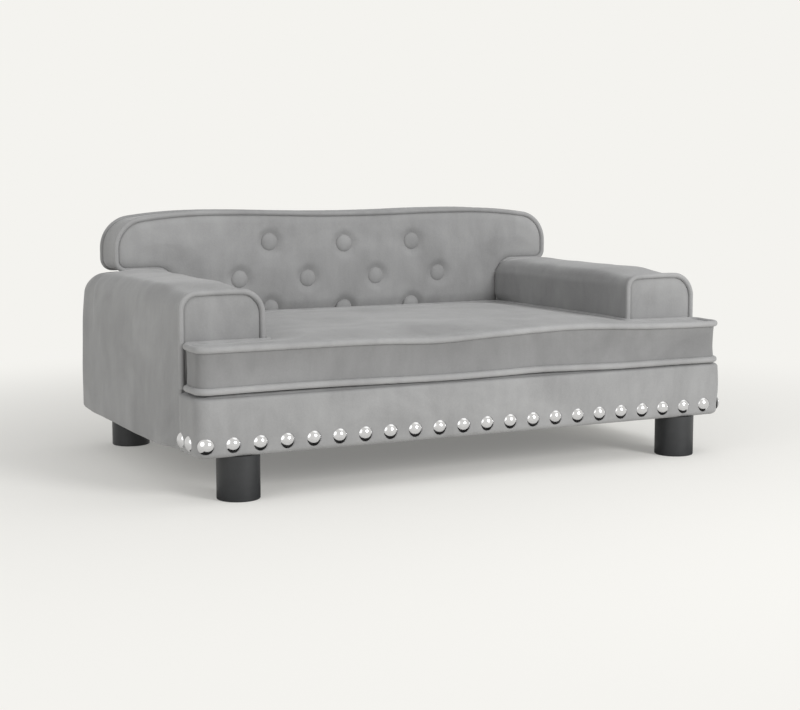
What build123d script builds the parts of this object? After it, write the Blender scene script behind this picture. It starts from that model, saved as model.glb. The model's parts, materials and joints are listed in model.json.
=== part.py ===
from build123d import *
import os
from math import asin, atan2, cos, pi, sin, sqrt

# Driving sizes, in millimetres. X runs across the sofa, Y to its rear, Z up.
# The origin is on the floor under the middle of the overall box.
rail_width = 704.0              # front rail, end to end
arms_width = 701.0              # over both arms at their piping
body_depth = 441.0              # face of the front rail to the rear cover
back_height = 307.3             # floor to the crests of the back
leg_height = 50.5
seat_rise = 68.0                # underside to deck
arm_rise = 178.0                # underside to arm top, over the piping
arm_width = 102.0               # over the piping
rail_depth = 60.5               # front rail, ahead of the arms
back_thickness = 66.0           # crown of the back to its rear cover
ears_width = 649.0              # over the two ears of the back

# Stock and fits
board = 12.0                    # frame boards
cover = 1.6                     # cover fabric with its backing
thin_foam = 4.0                 # foam where a face is only softened
side_foam = 8.0                 # foam on the outer faces
arm_top_foam = 18.0
piping_size = 6.6               # diameter of the corded piping
piping_sink = 1.0               # how far its centre lies inside the seam
soft_gap = 0.3                  # between soft pieces that lie on each other
cushion_gap = 1.0               # between the loose cushion and what stands round it
rest_gap = 0.5                  # between the ears and the arm tops
pin_fit = 0.1                   # round a stud, bolt, nail or twine in its hole
overrun = 20.0                  # how far every cutting body passes its face

# Arms
arm_side_crown = 6.5
arm_top_crown = 2.0
arm_outer_round = 25.0
arm_inner_round = 20.0
arm_foot_round = 8.0
arm_rear_top_round = 40.0
arm_rear_foot_round = 15.0
arm_rear_side_round = 12.0

# Front rail
rail_end_round = 14.0
rail_top_round = 8.0
rail_foot_round = 6.0

# Nails along the front rail
nail_size = 18.0
nail_rise = 4.5                 # how far the dome stands out
nail_shank = 2.0
nail_length = 16.0
nail_pitch = 31.8
first_nail = 6.5                # from the rail's rear edge, round the left end
second_nail = 31.7
nail_height = 13.9              # above the underside

# Back
back_crown = 4.0
ear_round = 40.0
shoulder_round = 700.0
crest_place = 190.0             # from the middle to each crest
dip = 4.7                       # between the crests
ear_foot_round = 13.0
back_foot_round = 10.0
back_post = 30.0
back_post_place = 215.0         # from the middle to each post
post_head = 28.0                # from the post's head to the crest
wadding = 3.0

# Buttons of the back
button_size = 23.0
button_rise = 5.5
tuft_depth = 8.0
tuft_size = 52.0
tuft_slope_share = 0.33         # depth of the hollow half-way up its wall
outer_row_pitch = 107.0
middle_row_pitch = 100.0
row_rise = 44.5
middle_row_drop = 91.3          # from the crests to the middle row
twine = 1.6
twine_knot = 5.0

# Loose cushion
cushion_side = 47.4             # seam to seam
cushion_corner_round = 14.0
cushion_notch_round = 6.0
cushion_waist = 2.5             # how far the sides draw in
waist_slope_share = 0.18        # level of the section half-way down the waist's slope
waist_flat_share = 0.35         # level where the waist turns flat
cushion_shoulder = 9.0          # width of the rounding above and below the seams
cushion_crown = 4.5
crown_middle_share = 0.66       # height of the crown's second section
crown_corner_share = 0.5        # growth of its corner rounds for each step inwards
crown_run = 31.0                # width of each of the crown's two steps
cushion_end_gap = 1.0           # how far its ends stay inside the rail's ends

# Zip of the cushion cover
zip_length = 400.0
zip_tape_height = 14.0
zip_tape = 0.8
zip_coil_height = 4.0
zip_coil = 1.4
slider_length = 10.0
slider_height = 7.0
slider_wall = 0.9
slider_gap = 0.3

# Legs and hardware
leg_size = 48.6
leg_edge = 1.5
leg_place = 297.0               # from the middle to each leg
front_leg_place = 23.9          # from the rail's face to the leg's centre
rear_leg_place = 29.1           # from the rear cover to the leg's centre
stud_size = 8.0
stud_depth = 22.0               # in the leg
insert_size = 11.0
bolt_size = 6.0
bolt_head = 12.0
bolt_head_rise = 4.0
bolt_nut = 10.0
bolt_nut_rise = 5.0
bolt_margin = 70.0              # from the ends of the side rails
dust_cover = 0.6
dust_cover_lap = 16.0

# Levels and planes that follow
piping_radius = piping_size / 2
piping_stand = piping_radius - piping_sink
underside = leg_height
deck = underside + seat_rise
arm_top = underside + arm_rise
rail_face = (nail_rise - body_depth) / 2
rear_face = rail_face + body_depth
arm_face = rail_face + rail_depth
rail_half = rail_width / 2
arm_outer = arms_width / 2 - piping_stand
arm_inner = arms_width / 2 - arm_width + piping_stand
arm_roof = arm_top - piping_stand
back_face = rear_face - back_thickness
back_seam = back_face + back_crown
back_crest = back_height - piping_stand
middle_row = back_height - middle_row_drop
back_half = arm_inner - rest_gap - piping_stand
ear_half = ears_width / 2 - piping_stand
ear_foot = arm_roof + arm_top_crown + rest_gap + piping_stand
deck_board_top = deck - cover
X_AXIS = Vector(1, 0, 0)
Y_AXIS = Vector(0, 1, 0)


# Shapes used by many pieces

def block(left, right, near, far, low, high):
    """A box between two corners."""
    size = (right - left, far - near, high - low)
    return Pos(left, near, low) * Box(*size, align=(Align.MIN, Align.MIN, Align.MIN))


def outline(points, radii):
    """A flat face with a rounded corner at each point."""
    return make_face(FilletPolyline(*points, radius=radii, close=True))


def front_prism(face, near, far):
    """A face drawn in X and Z, carried along Y."""
    return extrude(Pos(0, near, 0) * (Plane.XZ * face), far - near, dir=Y_AXIS)


def side_prism(face, left, right):
    """A face drawn in Y and Z, carried along X."""
    return extrude(Pos(left, 0, 0) * (Plane.YZ * face), right - left, dir=X_AXIS)


def plan_prism(face, low, high):
    """A face drawn in X and Y, carried along Z."""
    return extrude(Pos(0, 0, low) * face, high - low)


def rod(radius, start, direction, length):
    """A round bar from a point along a direction."""
    return extrude(Plane(origin=start, z_dir=direction) * Circle(radius), length)


def turned(points_and_arcs, start, direction):
    """A profile of radius and height, turned about an axis through a point."""
    place = Plane(origin=start, z_dir=direction)
    profile = Plane.XZ * make_face(points_and_arcs)
    return place * revolve(profile, Axis.Z)


def dome(radius, rise, start, direction):
    """The cap of a ball on a flat round foot."""
    ball = (radius ** 2 + rise ** 2) / (rise * 2)
    half_angle = asin(radius / ball) / 2
    middle = (ball * sin(half_angle), rise - ball + ball * cos(half_angle))
    arc = ThreePointArc((radius, 0), middle, (0, rise))
    return turned([Line((0, 0), (radius, 0)), arc, Line((0, rise), (0, 0))], start, direction)


def piped(face_wire, radius):
    """A round cord along a closed seam."""
    section = Plane(origin=face_wire @ 0, z_dir=face_wire % 0) * Circle(radius)
    return sweep(section, path=face_wire)


def less(body, *tools):
    """A body with other shapes cut out of it, one after the other."""
    for tool in tools:
        body = body - tool
    return body


def largest(shape):
    """The main solid of a body, without its slivers."""
    return max(shape.solids(), key=lambda solid: solid.volume)


def other_side(shape):
    return mirror(shape, about=Plane.YZ)


def group(solids):
    """Separate solids that share one node."""
    return Compound(children=[item.solid() for item in solids])


# Front rail

def rail_form(inset):
    """The rail's outer shape, open to the rear, drawn in by an inset."""
    half, near, far = rail_half - inset, rail_face + inset, arm_face
    low, high = underside + inset, deck - inset
    corner = max(rail_end_round - inset, pin_fit)
    plan = outline([(-half, near), (half, near), (half, far), (-half, far)], [corner, corner, 0, 0])
    body = plan_prism(plan, low, high)

    def rim(level):
        """Edges of one level, but for the rear one."""
        return [edge for edge in body.edges()
                if abs(edge.center().Z - level) < pin_fit and edge.center().Y < far - pin_fit]

    body = fillet(rim(high), max(rail_top_round - inset, pin_fit))
    return fillet(rim(low), max(rail_foot_round - inset, pin_fit))


def nail_places():
    """Foot and outward direction of each nail, along the row round the rail's face."""
    side = rail_depth - rail_end_round
    arc = rail_end_round * pi / 2
    front = rail_width - rail_end_round * 2
    level = underside + nail_height
    row = (side + arc) * 2 + front
    steps = range(int((row - second_nail) / nail_pitch) + 1)
    places = []
    for run in [first_nail] + [second_nail + nail_pitch * step for step in steps]:
        bend = min(max(run - side, 0), arc) + min(max(run - side - arc - front, 0), arc)
        across = min(max(run - side - arc, 0), front)
        back = max(side - run, run - side - arc * 2 - front, 0)
        angle = bend / rail_end_round
        outward = Vector(-cos(angle), -sin(angle), 0)
        centre = Vector(across - front / 2, rail_face + rail_end_round + back, level)
        places.append((centre + outward * rail_end_round, outward))
    return places


def nail_shanks(fit):
    """The holes that the nails pass through."""
    return [rod(nail_shank / 2 + fit, foot, -outward, nail_length + fit)
            for foot, outward in nail_places()]


def nails():
    """Domed heads on thin shanks."""
    return [dome(nail_size / 2, nail_rise, foot, outward) + rod(nail_shank / 2, foot, -outward, nail_length)
            for foot, outward in nail_places()]


rail_core_half = rail_half - cover - side_foam
rail_core_face = rail_face + cover + side_foam
rail_floor = underside + cover


def rail_foam():
    core = block(-rail_core_half, rail_core_half, rail_core_face, arm_face + overrun,
                 underside - overrun, deck + overrun)
    return rail_form(cover + soft_gap) - core


# Legs and their hardware

leg_places = {
    "front_left": (-leg_place, rail_face + front_leg_place),
    "front_right": (leg_place, rail_face + front_leg_place),
    "rear_left": (-leg_place, rear_face - rear_leg_place),
    "rear_right": (leg_place, rear_face - rear_leg_place),
}
stud_foot = leg_height - stud_depth
stud_head = underside + cover + board


def leg_bars(radius, low, high):
    """Round bars on the four legs' axes."""
    return [Pos(x, y, low) * Cylinder(radius, high - low, align=(Align.CENTER, Align.CENTER, Align.MIN))
            for x, y in leg_places.values()]


def leg(x, y):
    body = Cylinder(leg_size / 2, leg_height, align=(Align.CENTER, Align.CENTER, Align.MIN))
    body = fillet(body.edges().group_by(Axis.Z)[0], leg_edge)
    return Pos(x, y, 0) * body


def insert_rings():
    """Threaded inserts, one in the board over each leg."""
    bores = leg_bars(stud_size / 2 + pin_fit, underside, stud_head + overrun)
    rings = leg_bars(insert_size / 2, underside + cover, stud_head)
    return [ring - bore for ring, bore in zip(rings, bores)]


insert_holes = leg_bars(insert_size / 2 + pin_fit, underside, stud_head + overrun)
stud_holes = leg_bars(stud_size / 2 + pin_fit, stud_foot, stud_head + overrun)


# Arms, drawn on the right

def nearest(sketch, x, y):
    return min(sketch.vertices(), key=lambda corner: (corner.X - x) ** 2 + (corner.Y - y) ** 2)


def arm_section(inset):
    """Front view of the right arm: crowned side and top, rounded corners."""
    inner, outer = arm_inner + inset, arm_outer - inset
    low, high = underside + inset, arm_roof - inset
    side = ThreePointArc((outer, low), (outer + arm_side_crown, (low + high) / 2), (outer, high))
    roof = ThreePointArc((outer, high), ((inner + outer) / 2, high + arm_top_crown), (inner, high))
    wall = Line((inner, high), (inner, low))
    foot = Line((inner, low), (outer, low))
    shape = make_face([side, roof, wall, foot])
    shape = fillet(nearest(shape, outer, high), arm_outer_round - inset)
    shape = fillet(nearest(shape, inner, high), arm_inner_round - inset)
    feet = [nearest(shape, inner, low), nearest(shape, outer, low)]
    return fillet(feet, max(arm_foot_round - inset, pin_fit))


def arm_form(inset):
    """The right arm's outer shape, drawn in by an inset."""
    near, far = arm_face + inset, rear_face - inset
    low, high = underside + inset, arm_roof - inset + arm_top_crown
    inner, outer = arm_inner + inset, arm_outer - inset + arm_side_crown
    side = outline([(near, low), (far, low), (far, high), (near, high)],
                   [0, arm_rear_foot_round - inset, arm_rear_top_round - inset, 0])
    corner = arm_rear_side_round - inset
    plan = outline([(inner, near), (outer, near), (outer, far), (inner, far)], [0, 0, corner, corner])
    body = front_prism(arm_section(inset), near, far) & side_prism(side, inner - overrun, outer + overrun)
    return body & plan_prism(plan, low - overrun, high + overrun)


def arm_piping(radius):
    """The cord round the arm's front face, down to the deck."""
    seam = Pos(0, arm_face + piping_sink, 0) * (Plane.XZ * arm_section(piping_sink))
    ring = piped(seam.face().outer_wire(), radius)
    below = block(arm_inner - overrun, arm_outer + overrun, arm_face - overrun, arm_face + overrun,
                  underside - overrun, deck + soft_gap)
    return ring - below


arm_core_inner = arm_inner + cover + thin_foam
arm_core_outer = arm_outer - cover - side_foam
arm_core_near = arm_face + cover + thin_foam
arm_core_far = rear_face - cover - side_foam
arm_core_low = underside + cover
arm_core_high = arm_roof - cover - arm_top_foam


def arm_boards():
    """The six boards of the right arm, by name."""
    inner, outer = arm_core_inner, arm_core_outer
    near, far = arm_core_near, arm_core_far
    low, high = arm_core_low, arm_core_high
    return {
        "bottom_board": block(inner, outer, near, far, low, low + board),
        "top_board": block(inner, outer, near, far, high - board, high),
        "outer_board": block(outer - board, outer, near, far, low + board, high - board),
        "inner_board": block(inner, inner + board, near, far, low + board, high - board),
        "front_board": block(inner + board, outer - board, near, near + board, low + board, high - board),
        "rear_board": block(inner + board, outer - board, far - board, far, low + board, high - board),
    }


def arm_foam():
    core = block(arm_core_inner, arm_core_outer, arm_core_near, arm_core_far,
                 underside - overrun, arm_core_high)
    return arm_form(cover + soft_gap) - core


# Back: a T in front view, crowned in side view

def back_outline(inset, low):
    """Front view: the body between the arms, the ears over them, two crests and a dip."""
    half, ear, foot = back_half - inset, ear_half - inset, ear_foot + inset
    notch = arm_inner_round + rest_gap + inset
    heel = ear_foot_round - inset
    corner = ear_round - inset
    shoulder = shoulder_round - inset
    crest_radius = ((crest_place / 2) ** 2 + (dip / 2) ** 2) / dip
    shoulder_y = back_crest - shoulder_round
    corner_x = ear_half - ear_round
    corner_y = shoulder_y + sqrt((shoulder_round - ear_round) ** 2 - (corner_x - crest_place) ** 2)
    lean = atan2(corner_x - crest_place, corner_y - shoulder_y)
    crest_y = back_crest - crest_radius
    sway = atan2(crest_place / 2, crest_radius - dip / 2)

    def turn(centre_x, centre_y, radius, angle):
        return (centre_x + radius * sin(angle), centre_y + radius * cos(angle))

    def arc(centre_x, centre_y, radius, first, last):
        """Angles run from straight up, clockwise."""
        middle = (first + last) / 2
        ends = [turn(centre_x, centre_y, radius, angle) for angle in (first, middle, last)]
        return ThreePointArc(*ends)

    dip_y = back_crest - dip + crest_radius
    toe = back_foot_round - inset
    right = [
        arc(half - toe, low + toe, toe, pi, pi / 2),
        Line((half, low + toe), (half, foot - notch)),
        arc(half + notch, foot - notch, notch, -pi / 2, 0),
        Line((half + notch, foot), (ear - heel, foot)),
        arc(ear - heel, foot + heel, heel, pi, pi / 2),
        Line((ear, foot + heel), (ear, corner_y)),
        arc(corner_x, corner_y, corner, pi / 2, lean),
        arc(crest_place, shoulder_y, shoulder, lean, 0),
        arc(crest_place, crest_y, crest_radius - inset, 0, -sway),
    ]
    left = [mirror(edge, about=Plane.YZ) for edge in right]
    middle = arc(0, dip_y, crest_radius + inset, pi - sway, pi + sway)
    base = Line((toe - half, low), (half - toe, low))
    return make_face(right + left + [middle, base])


def back_side(inset, low):
    """Side view: upright to the deck, crowned above it."""
    near, front, far = back_seam + inset, back_face + inset, rear_face - inset
    high = back_height + overrun
    seat = deck + soft_gap
    crown = ThreePointArc((near, seat), (front, (seat + back_height) / 2), (near, back_height))
    edges = [Line((near, low), (near, seat)), crown, Line((near, back_height), (near, high)),
             Line((near, high), (far, high)), Line((far, high), (far, low)), Line((far, low), (near, low))]
    return make_face(edges)


def button_places():
    """Middle of each button in X and Z: rows of three, four and three."""
    outer = [outer_row_pitch * step for step in (-1, 0, 1)]
    middle = [middle_row_pitch * step / 2 for step in (-3, -1, 1, 3)]
    rows = [(outer, row_rise), (middle, 0), (outer, -row_rise)]
    return [(x, middle_row + rise) for places, rise in rows for x in places]


tuft_floor = back_face + tuft_depth


def tufts(inset):
    """Round hollows with a flat seat for each button, deeper by an inset."""
    seat = button_size / 2 + inset
    rim = tuft_size / 2 + inset
    floor = tuft_depth + inset
    lip = (seat + rim) / 2
    wall = ThreePointArc((seat, floor), (lip, floor * tuft_slope_share), (rim, 0))
    profile = [Line((0, -overrun), (0, floor)), Line((0, floor), (seat, floor)), wall,
               Line((rim, 0), (rim, -overrun)), Line((rim, -overrun), (0, -overrun))]
    return [turned(profile, Vector(x, back_face, z), Y_AXIS) for x, z in button_places()]


def back_form(inset, low):
    """The back's outer shape, drawn in by an inset."""
    front = front_prism(back_outline(inset, low), back_face - overrun, rear_face + overrun)
    side = side_prism(back_side(inset, low), -rail_half, rail_half)
    return less(front & side, *tufts(inset))


def twines(radius, extra):
    """Straight runs from the buttons to the rear of the panel."""
    return [rod(radius, Vector(x, tuft_floor, z), Y_AXIS, panel_far + extra - tuft_floor)
            for x, z in button_places()]


def back_piping(radius, plane_y):
    seam = Pos(0, plane_y, 0) * (Plane.XZ * back_outline(piping_sink, underside + piping_radius + soft_gap))
    return piped(seam.face().outer_wire(), radius)


back_front_seam = back_seam + piping_sink
back_rear_seam = rear_face - piping_sink
panel_far = rear_face - cover - wadding - soft_gap
panel_near = panel_far - board
lower_rail_near = back_seam + cover
lower_rail_far = lower_rail_near + board
seat_far = back_seam - soft_gap


def slab(near, far, low=0):
    """Everything between two upright planes, above a level."""
    return block(-rail_width, rail_width, near, far, low, back_height + overrun)


# Loose cushion

cushion_low = deck + soft_gap
cushion_low_seam = cushion_low + piping_radius
cushion_high_seam = cushion_low_seam + cushion_side
cushion_roof = cushion_high_seam + piping_radius
cushion_seat_half = arm_inner - piping_stand * 2 - cushion_gap
cushion_end_half = rail_half - cushion_end_gap - piping_stand
cushion_face = rail_face + piping_stand
cushion_notch = arm_face - piping_stand * 2 - cushion_gap
cushion_rear = back_face - cushion_gap - piping_stand


def cushion_plan(inset, level):
    """Plan of the cushion: a T whose bar lies ahead of the arms."""
    end, seat = cushion_end_half - inset, cushion_seat_half - inset
    near, notch, far = cushion_face + inset, cushion_notch - inset, cushion_rear - inset
    corner = max(cushion_corner_round - inset, pin_fit)
    crook = cushion_notch_round + inset
    points = [(-end, near), (end, near), (end, notch), (seat, notch), (seat, far), (-seat, far),
              (-seat, notch), (-end, notch)]
    radii = [corner, corner, corner, crook, corner, corner, crook, corner]
    return Pos(0, 0, level) * outline(points, radii)


def crown_plan(inset, level):
    """Plan of one section of the crown over the seat."""
    half = cushion_seat_half - cushion_shoulder - inset
    near, far = cushion_face + cushion_shoulder + inset, cushion_rear - cushion_shoulder - inset
    points = [(-half, near), (half, near), (half, far), (-half, far)]
    corner = cushion_corner_round + inset * crown_corner_share
    return Pos(0, 0, level) * outline(points, [corner] * 4)


def waist(share):
    """How far the sides draw in at a share of their height, with a flat band for the zip."""
    return cushion_waist * min(1, sin(pi * share) / sin(pi * waist_flat_share))


def cushion_form(inset):
    """Drawn-in sides between two seams, rounded edges and a crown over the seat."""
    floor, roof = cushion_low + inset, cushion_roof - inset
    low, high = cushion_low_seam, cushion_high_seam
    shoulder = cushion_shoulder + inset
    shares = [0, waist_slope_share, waist_flat_share, 1 - waist_flat_share, 1 - waist_slope_share, 1]
    sections = [cushion_plan(inset + waist(share), low + (high - low) * share) for share in shares]
    sides = loft(sections, ruled=True)
    belly = loft([cushion_plan(shoulder, floor), cushion_plan(inset, low)], ruled=True)
    edge = loft([cushion_plan(inset, high), cushion_plan(shoulder, roof)], ruled=True)
    middle = roof + cushion_crown * crown_middle_share
    crown = loft([crown_plan(inset, roof), crown_plan(inset + crown_run, middle),
                  crown_plan(inset + crown_run * 2, roof + cushion_crown)], ruled=True)
    return sides + belly + edge + crown


def cushion_cord(radius, level):
    return piped(cushion_plan(piping_sink, level).face().outer_wire(), radius)


# Zip along the cushion's rear

zip_level = (cushion_low_seam + cushion_high_seam) / 2
zip_near = cushion_rear - cushion_waist + soft_gap
zip_coil_far = zip_near + zip_tape + zip_coil
slider_travel = zip_length - slider_length


def zip_strip():
    half, tall = zip_length / 2, zip_tape_height / 2
    tape = block(-half, half, zip_near, zip_near + zip_tape, zip_level - tall, zip_level + tall)
    coil = block(-half, half, zip_near + zip_tape, zip_coil_far,
                 zip_level - zip_coil_height / 2, zip_level + zip_coil_height / 2)
    return tape + coil


def zip_slider():
    """A channel over the coil, at the closed end of the zip."""
    left = -zip_length / 2
    near = zip_near + zip_tape + slider_gap
    far = zip_coil_far + slider_gap + slider_wall
    body = block(left, left + slider_length, near, far,
                 zip_level - slider_height / 2, zip_level + slider_height / 2)
    tall = zip_coil_height / 2 + slider_gap
    channel = block(left - overrun, left + slider_length + overrun, near - overrun, far - slider_wall,
                    zip_level - tall, zip_level + tall)
    return body - channel


# Every piece, by node name

parts = {}

for name, (x, y) in leg_places.items():
    parts["leg_" + name] = less(leg(x, y), *stud_holes)
parts["leg_studs"] = group(leg_bars(stud_size / 2, stud_foot, stud_head))
parts["leg_inserts"] = group(insert_rings())

rail_holes = stud_holes[:2] + nail_shanks(pin_fit)
parts["rail_cover"] = less(rail_form(0) - rail_form(cover), *rail_holes)
nail_holes = nail_shanks(pin_fit)
parts["rail_foam"] = less(rail_foam(), *nail_holes)
rail_board_top = deck_board_top - board
rail_front_board = block(-rail_core_half, rail_core_half, rail_core_face, rail_core_face + board,
                         rail_floor + board, rail_board_top)
parts["rail_front_board"] = less(rail_front_board, *nail_holes)
rail_bottom_board = block(-rail_core_half, rail_core_half, rail_core_face, arm_face,
                          rail_floor, rail_floor + board)
parts["rail_bottom_board"] = less(rail_bottom_board, *insert_holes, *nail_holes)
end_board = block(rail_core_half - board, rail_core_half, rail_core_face + board, arm_face,
                  rail_floor + board, rail_board_top)
parts["rail_right_end_board"] = less(end_board, *nail_holes)
parts["rail_left_end_board"] = less(other_side(end_board), *nail_holes)
parts["rail_nails"] = group(nails())

# Seat box between the arms
seat_half = arm_inner - soft_gap
bar = block(-rail_core_half, rail_core_half, rail_core_face, arm_face, rail_board_top, deck_board_top)
tongue = block(-seat_half, seat_half, arm_face, seat_far, rail_board_top, deck_board_top)
parts["seat_deck_board"] = bar + tongue
bolt_level = (underside + rail_board_top) / 2
bolt_start = seat_half - board
bolt_end = arm_core_inner + board
bolt_places = [arm_face + bolt_margin, seat_far - bolt_margin]
bolt_holes = [rod(bolt_size / 2 + pin_fit, Vector(bolt_start - overrun, y, bolt_level), X_AXIS,
                  bolt_end - bolt_start + overrun * 2) for y in bolt_places]
side_rail = block(seat_half - board, seat_half, arm_face, seat_far, underside, rail_board_top)
side_rail = less(side_rail, *bolt_holes)
parts["seat_right_rail"] = side_rail
parts["seat_left_rail"] = other_side(side_rail)
inside = seat_half - board
parts["seat_front_rail"] = block(-inside, inside, arm_face, arm_face + board, underside, rail_board_top)
parts["seat_rear_rail"] = block(-inside, inside, seat_far - board, seat_far, underside, rail_board_top)
parts["seat_centre_rail"] = block(-board / 2, board / 2, arm_face + board, seat_far - board,
                                  underside, rail_board_top)
parts["seat_deck_cloth"] = block(-seat_half, seat_half, arm_face, seat_far, deck_board_top, deck)
parts["dust_cover"] = block(-arm_inner - dust_cover_lap, arm_inner + dust_cover_lap,
                            arm_face - dust_cover_lap, seat_far, underside - dust_cover, underside)

# Arms
arm_groove = arm_piping(piping_radius + soft_gap)
arm_cover = less(arm_form(0), arm_form(cover), arm_groove, *bolt_holes, *stud_holes)
arm_foam_body = less(arm_foam(), arm_groove, *bolt_holes)
boards = arm_boards()
boards["bottom_board"] = less(boards["bottom_board"] & arm_form(cover), *insert_holes)
boards["inner_board"] = less(boards["inner_board"], *bolt_holes)
arm_pieces = {"cover": arm_cover, "foam": arm_foam_body, "piping": arm_piping(piping_radius)}
arm_pieces.update(boards)
for name, piece in arm_pieces.items():
    parts["arm_right_" + name] = piece
    parts["arm_left_" + name] = other_side(piece)

bolts = []
nuts = []
for y in bolt_places:
    head = rod(bolt_head / 2, Vector(bolt_start, y, bolt_level), -X_AXIS, bolt_head_rise)
    shaft_length = bolt_end + bolt_nut_rise - bolt_start
    shaft = rod(bolt_size / 2, Vector(bolt_start, y, bolt_level), X_AXIS, shaft_length)
    nut = rod(bolt_nut / 2, Vector(bolt_end, y, bolt_level), X_AXIS, bolt_nut_rise)
    hole = rod(bolt_size / 2 + pin_fit, Vector(bolt_end, y, bolt_level), X_AXIS, bolt_nut_rise)
    bolts += [head + shaft, other_side(head + shaft)]
    nuts += [nut - hole, other_side(nut - hole)]
parts["arm_bolts"] = group(bolts)
parts["arm_bolt_nuts"] = group(nuts)

# Back
above_deck = slab(back_face - overrun, rear_face, deck + soft_gap)
front_cord = back_piping(piping_radius, back_front_seam) & above_deck
front_groove = back_piping(piping_radius + soft_gap, back_front_seam)
rear_cord = back_piping(piping_radius, back_rear_seam)
rear_groove = back_piping(piping_radius + soft_gap, back_rear_seam)
twine_holes = twines(twine / 2 + pin_fit, overrun)
button_holes = [rod(twine / 2 + pin_fit, Vector(x, back_face, z), Y_AXIS, tuft_depth + cover * 2)
                for x, z in button_places()]
back_shell = less(back_form(0, underside), back_form(cover, underside + cover), front_groove, rear_groove)
tuft_cups = front_prism(back_outline(cover + soft_gap, underside + cover), back_front_seam,
                        tuft_floor + cover * 2)
front_side = slab(back_face - overrun, back_front_seam) + tuft_cups
parts["back_front_cover"] = less(largest(back_shell & front_side), *button_holes)
border_far = rear_face - cover
border = front_prism(back_outline(0, underside), back_front_seam, border_far)
border_core = front_prism(back_outline(cover, underside + cover), back_face, rear_face)
parts["back_border"] = less(border, border_core, front_groove, rear_groove)
parts["back_rear_cover"] = largest(back_shell & slab(border_far, rear_face + overrun))
parts["back_front_piping"] = front_cord
parts["back_rear_piping"] = rear_cord
core_inset = cover + side_foam
panel = front_prism(back_outline(core_inset, underside + cover), panel_near, panel_far)
parts["back_panel"] = less(panel, *twine_holes)
rail_side = back_half - back_foot_round - soft_gap
parts["back_lower_rail"] = block(-rail_side, rail_side, lower_rail_near, lower_rail_far,
                                 underside + cover, deck)
post = block(back_post_place - back_post / 2, back_post_place + back_post / 2, lower_rail_far, panel_near,
             underside + cover, back_crest - post_head)
parts["back_right_post"] = post
parts["back_left_post"] = other_side(post)
foam = back_form(cover + soft_gap, underside + cover) & slab(back_face - overrun, panel_near, deck)
parts["back_foam"] = less(foam, front_groove, post, other_side(post), *twine_holes)
wadding_outline = back_outline(cover + soft_gap, underside + cover)
wadding_sheet = front_prism(wadding_outline, panel_far, panel_far + wadding)
knots = [rod(twine_knot / 2, Vector(x, panel_far, z), Y_AXIS, wadding / 2) for x, z in button_places()]
knot_holes = [rod(twine_knot / 2 + pin_fit, Vector(x, panel_far, z), Y_AXIS, wadding / 2 + pin_fit)
              for x, z in button_places()]
parts["back_wadding"] = less(wadding_sheet, rear_groove, *knot_holes)
button_radius = button_size / 2 - soft_gap
parts["back_buttons"] = group([dome(button_radius, button_rise, Vector(x, tuft_floor, z), -Y_AXIS)
                               for x, z in button_places()])
parts["back_twines"] = group([run + knot for run, knot in zip(twines(twine / 2, 0), knots)])

# Cushion
cords = [cushion_cord(piping_radius + soft_gap, level) for level in (cushion_low_seam, cushion_high_seam)]
parts["cushion_cover"] = less(cushion_form(0), cushion_form(cover), *cords)
parts["cushion_foam"] = less(cushion_form(cover + soft_gap), *cords)
parts["cushion_low_piping"] = cushion_cord(piping_radius, cushion_low_seam)
parts["cushion_top_piping"] = cushion_cord(piping_radius, cushion_high_seam)
parts["cushion_zip"] = zip_strip()
parts["cushion_zip_slider"] = zip_slider()

os.makedirs("parts", exist_ok=True)
for name, piece in parts.items():
    export_step(piece, "parts/" + name + ".step")
print(len(parts), "pieces, cushion zip travel", slider_travel)
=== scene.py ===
import json
from math import atan2, pi, radians, sin, sqrt

import bpy
import numpy as np
from bpy.props import FloatProperty, FloatVectorProperty, PointerProperty
from bpy.types import Operator, Panel, PropertyGroup
from mathutils import Euler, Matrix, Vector
from mathutils.kdtree import KDTree


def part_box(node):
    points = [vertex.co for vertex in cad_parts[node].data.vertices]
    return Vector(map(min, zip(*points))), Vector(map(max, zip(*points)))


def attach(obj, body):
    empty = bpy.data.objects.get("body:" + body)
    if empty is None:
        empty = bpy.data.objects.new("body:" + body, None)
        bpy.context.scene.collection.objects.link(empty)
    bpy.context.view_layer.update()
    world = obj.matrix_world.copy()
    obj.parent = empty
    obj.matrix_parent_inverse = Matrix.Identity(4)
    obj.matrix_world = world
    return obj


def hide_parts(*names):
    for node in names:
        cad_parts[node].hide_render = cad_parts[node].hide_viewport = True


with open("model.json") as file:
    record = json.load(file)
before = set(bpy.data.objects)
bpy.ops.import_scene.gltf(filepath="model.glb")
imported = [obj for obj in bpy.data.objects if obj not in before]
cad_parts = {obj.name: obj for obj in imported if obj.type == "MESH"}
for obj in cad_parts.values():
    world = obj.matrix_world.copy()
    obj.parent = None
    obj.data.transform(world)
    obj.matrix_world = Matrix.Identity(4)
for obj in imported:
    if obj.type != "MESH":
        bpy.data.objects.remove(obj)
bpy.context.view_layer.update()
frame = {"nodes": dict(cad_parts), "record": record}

bl_info = {
    "name": "Dog sofa bed",
    "version": (1, 0, 0),
    "blender": (4, 5, 0),
    "location": "View3D > Sidebar > Sofa",
    "description": "Dresses the packed sofa frame in velvet, piping, nails and buttons",
    "category": "Object",
}

MM = 0.001
UP, FORWARD = np.array([0, 0, 1.0]), np.array([0, -1.0, 0])


def node_box(name):
    """Lowest and highest corner of a CAD node, as two arrays."""
    low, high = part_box(name)
    return np.array(low), np.array(high)


# Sizes and colours that a user would change

def length(name, description, millimetres):
    return FloatProperty(name=name, description=description, default=millimetres * MM, unit="LENGTH",
                         precision=5)


def colour(name, description, default):
    return FloatVectorProperty(name=name, description=description, default=default, subtype="COLOR",
                               min=0.0, max=1.0)


def share(name, description, default):
    return FloatProperty(name=name, description=description, default=default, subtype="FACTOR",
                         min=0.0, max=1.0)


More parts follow.
